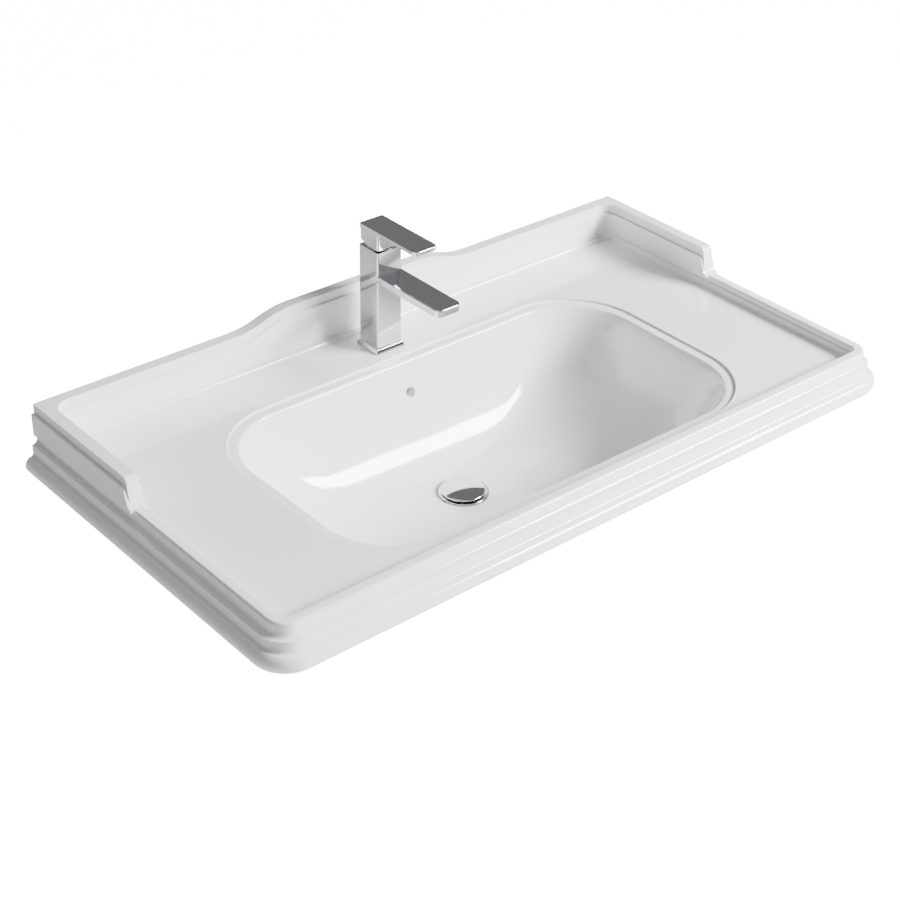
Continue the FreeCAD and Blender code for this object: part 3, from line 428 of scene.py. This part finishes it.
def refined(node, name, edge=0):
    """Smooth copy of a CAD node that stands for it, with its crisp edges rounded if edge is set."""
    source = NODES[node]
    obj = bpy.data.objects.new(name, source.data.copy())
    bpy.context.scene.collection.objects.link(obj)
    make_active(obj)
    bpy.ops.mesh.customdata_custom_splitnormals_clear()
    bpy.ops.object.mode_set(mode="EDIT")
    bpy.ops.mesh.select_all(action="SELECT")
    bpy.ops.mesh.remove_doubles(threshold=WELD)
    if edge:
        bpy.ops.mesh.dissolve_limited(angle_limit=FLAT)
    bpy.ops.object.mode_set(mode="OBJECT")
    if edge:
        round_edges(obj, edge)
    make_active(obj)
    bpy.ops.object.shade_smooth_by_angle(angle=CREASE)
    slot = slot_of(node)
    paint(obj, finishes()[slot])
    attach(obj, source["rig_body"])
    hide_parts(node)


def refined_small(node, name):
    """Smooth copy of a small CAD node, with the round that belongs to it."""
    refined(node, name, SMALL_ROUNDS[node])


def thread_coil(name, node, low, high, root, depth, pitch, slot):
    """Screw thread on a CAD node's upright axis: a wedge section screwed up round it."""
    clear_selection()
    bpy.ops.mesh.primitive_circle_add(vertices=3, fill_type="NOTHING", location=(0, 0, 0))
    coil = bpy.context.object
    coil.name = name
    corners = sorted(coil.data.vertices, key=lambda v: v.co.x)
    corners[0].co = Vector((root - depth * SUNK, 0, -pitch * FLANK))
    corners[1].co = Vector((root - depth * SUNK, 0, pitch * FLANK))
    corners[2].co = Vector((root + depth, 0, 0))
    make_active(coil)
    screw = coil.modifiers.new("turns", "SCREW")
    screw.axis = "Z"
    screw.screw_offset = pitch
    screw.iterations = int((high - low) / pitch) - 1
    screw.steps = screw.render_steps = TURN_STEPS
    screw.use_merge_vertices = True
    bpy.ops.object.modifier_apply(modifier="turns")
    bpy.ops.object.mode_set(mode="EDIT")
    # close the two ends
    bpy.ops.mesh.select_all(action="DESELECT")
    bpy.ops.mesh.select_non_manifold()
    bpy.ops.mesh.edge_face_add()
    bpy.ops.mesh.select_all(action="SELECT")
    bpy.ops.mesh.normals_make_consistent(inside=False)
    bpy.ops.object.mode_set(mode="OBJECT")
    corner, far_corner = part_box(node)
    coil.location = ((corner[0] + far_corner[0]) / 2, (corner[1] + far_corner[1]) / 2,
                     low + pitch * 0.5)
    place_in_mesh(coil)
    bpy.ops.object.shade_smooth_by_angle(angle=THREAD_CREASE)
    paint(coil, finishes()[slot])
    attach(coil, NODES[node]["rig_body"])


# ---------------------------------------------------------------- operators
class WASHBASIN_OT_basin(bpy.types.Operator):
    """Smooth glazed china of the basin."""

    bl_idname = "washbasin.basin"
    bl_label = "China basin"

    def execute(self, context):
        refined("basin", "basin_china")
        return {"FINISHED"}


class WASHBASIN_OT_tap(bpy.types.Operator):
    """Chromed column, spout, base plate, collar and aerator of the tap."""

    bl_idname = "washbasin.tap"
    bl_label = "Tap"

    def execute(self, context):
        edge = context.scene.washbasin_tap.edge
        refined("tap_body", "tap_casting", edge)
        for node, name in (("tap_base_plate", "base_plate"), ("trim_collar", "collar"),
                           ("aerator_housing", "aerator_shell")):
            refined(node, name, edge * TAP_ROUND_SHARES[node])
        paint_nodes("tap_base_gasket", "aerator_insert", "aerator_washer")
        return {"FINISHED"}


class WASHBASIN_OT_lever(bpy.types.Operator):
    """Lever with its hub, spindle, set screw and index button."""

    bl_idname = "washbasin.lever"
    bl_label = "Lever"

    def execute(self, context):
        refined("lever_handle", "lever", context.scene.washbasin_tap.edge)
        refined_small("index_button", "index_mark")
        paint_nodes("lever_spindle", "grub_screw")
        return {"FINISHED"}


class WASHBASIN_OT_cartridge(bpy.types.Operator):
    """Finishes of the cartridge's pieces inside the column."""

    bl_idname = "washbasin.cartridge"
    bl_label = "Cartridge"

    def execute(self, context):
        paint_nodes("cartridge_seal", "cartridge_base", "fixed_disc", "moving_disc", "disc_carrier",
                    "cartridge_housing", "cartridge_rotor", "pivot_pin", "cartridge_nut")
        return {"FINISHED"}


class WASHBASIN_OT_fixing(bpy.types.Operator):
    """Stud with its thread, nut and horseshoe washers under the shelf."""

    bl_idname = "washbasin.fixing"
    bl_label = "Tap fixing"

    def execute(self, context):
        refined_small("fixing_nut", "stud_nut")
        refined_small("horseshoe_plate", "horseshoe_steel")
        refined_small("horseshoe_rubber", "horseshoe_soft")
        paint_nodes("fixing_stud")
        low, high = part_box("fixing_stud")
        nut_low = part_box("fixing_nut")[0][2]
        # the crests end at the stud's own radius
        thread_coil("stud_thread", "fixing_stud", low[2] + THREAD_START, nut_low - STUD_NUT_GAP,
                    (high[0] - low[0]) / 2 - STUD_DEPTH, STUD_DEPTH,
                    context.scene.washbasin_tap.thread_pitch, "brass")
        return {"FINISHED"}


class WASHBASIN_OT_waste(bpy.types.Operator):
    """Chromed waste with its threaded tail, gaskets, washer and nut."""

    bl_idname = "washbasin.waste"
    bl_label = "Waste"

    def execute(self, context):
        refined_small("waste_body", "waste_casting")
        refined_small("waste_nut", "back_nut")
        refined_small("waste_washer", "slip_washer")
        refined_small("waste_lower_gasket", "cone_gasket")
        paint_nodes("waste_top_gasket", "plug_latch", "plug_spring")
        waste = context.scene.washbasin_waste
        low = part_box("waste_body")[0][2]
        thread_coil("tail_thread", "waste_body", low + THREAD_START, low + TAIL_THREAD_END,
                    waste.tail, waste.crest, waste.pitch, "chrome")
        return {"FINISHED"}


class WASHBASIN_OT_plug(bpy.types.Operator):
    """Domed cap, its seal and its stem."""

    bl_idname = "washbasin.plug"
    bl_label = "Plug"

    def execute(self, context):
        refined("plug_cap", "dome_cap")
        refined_small("plug_seal", "cap_seal")
        paint_nodes("plug_stem")
        return {"FINISHED"}


def softbox(name, place, size, power):
    """Large rectangular light that points at the basin."""
    bpy.ops.object.light_add(type="AREA", location=place)
    light = bpy.context.object
    light.name = name
    light.data.shape = "RECTANGLE"
    light.data.size, light.data.size_y = size
    light.data.energy = power
    light.rotation_mode = "QUATERNION"
    light.rotation_quaternion = (Vector(AIM) - Vector(place)).to_track_quat("-Z", "Y")


class WASHBASIN_OT_stage(bpy.types.Operator):
    """Pale floor, soft lights and the camera."""

    bl_idname = "washbasin.stage"
    bl_label = "Stage"

    def execute(self, context):
        stage = context.scene.washbasin_stage
        clear_selection()
        bpy.ops.mesh.primitive_plane_add(size=FLOOR_SIZE, location=(0, 0, stage.floor))
        floor = bpy.context.object
        floor.name = "floor"
        place_in_mesh(floor)
        paint(floor, studio_floor())
        softbox("key_softbox", KEY_PLACE, KEY_SIZE, stage.key)
        softbox("fill_softbox", FILL_PLACE, FILL_SIZE, stage.fill)
        world = bpy.data.worlds.new("plain surroundings")
        world.use_nodes = True
        background = world.node_tree.nodes["Background"]
        background.inputs["Color"].default_value = WHITE
        background.inputs["Strength"].default_value = stage.sky
        context.scene.world = world
        bpy.ops.object.camera_add(location=CAMERA_PLACE)
        camera = bpy.context.object
        camera.name = "camera"
        turn = Matrix((CAMERA_RIGHT, CAMERA_UP, CAMERA_BACK)).transposed()
        camera.rotation_mode = "QUATERNION"
        camera.rotation_quaternion = turn.to_quaternion()
        camera.data.lens = stage.lens
        camera.data.sensor_width = SENSOR_WIDTH
        camera.data.clip_start, camera.data.clip_end = CLIP_NEAR, CLIP_FAR
        context.scene.camera = camera
        return {"FINISHED"}


OPERATORS = (
    WASHBASIN_OT_basin, WASHBASIN_OT_tap, WASHBASIN_OT_lever, WASHBASIN_OT_cartridge,
    WASHBASIN_OT_fixing, WASHBASIN_OT_waste, WASHBASIN_OT_plug, WASHBASIN_OT_stage,
)
SETTINGS = {
    "washbasin_basin": BasinSettings, "washbasin_tap": TapSettings,
    "washbasin_waste": WasteSettings, "washbasin_stage": StageSettings,
}


class WASHBASIN_PT_studio(bpy.types.Panel):
    """Settings and steps of the washbasin."""

    bl_idname = "WASHBASIN_PT_studio"
    bl_label = "Washbasin studio"
    bl_space_type = "VIEW_3D"
    bl_region_type = "UI"
    bl_category = "Washbasin"

    def draw(self, context):
        for name in SETTINGS:
            group = getattr(context.scene, name)
            box = self.layout.box()
            for field in group.bl_rna.properties:
                if field.identifier not in {"rna_type", "name"}:
                    box.prop(group, field.identifier)
        for operator in OPERATORS:
            self.layout.operator(operator.bl_idname)


CLASSES = (*SETTINGS.values(), *OPERATORS, WASHBASIN_PT_studio)


def register():
    """Add the settings, operators and panel."""
    for item in CLASSES:
        bpy.utils.register_class(item)
    for name, group in SETTINGS.items():
        setattr(bpy.types.Scene, name, PointerProperty(type=group))


def unregister():
    """Take them away again."""
    for name in SETTINGS:
        delattr(bpy.types.Scene, name)
    for item in reversed(CLASSES):
        bpy.utils.unregister_class(item)


def main():
    """Make everything in order."""
    register()
    bpy.ops.washbasin.basin()
    bpy.ops.washbasin.tap()
    bpy.ops.washbasin.lever()
    bpy.ops.washbasin.cartridge()
    bpy.ops.washbasin.fixing()
    bpy.ops.washbasin.waste()
    bpy.ops.washbasin.plug()
    bpy.ops.washbasin.stage()


if __name__ == "__main__":
    main()
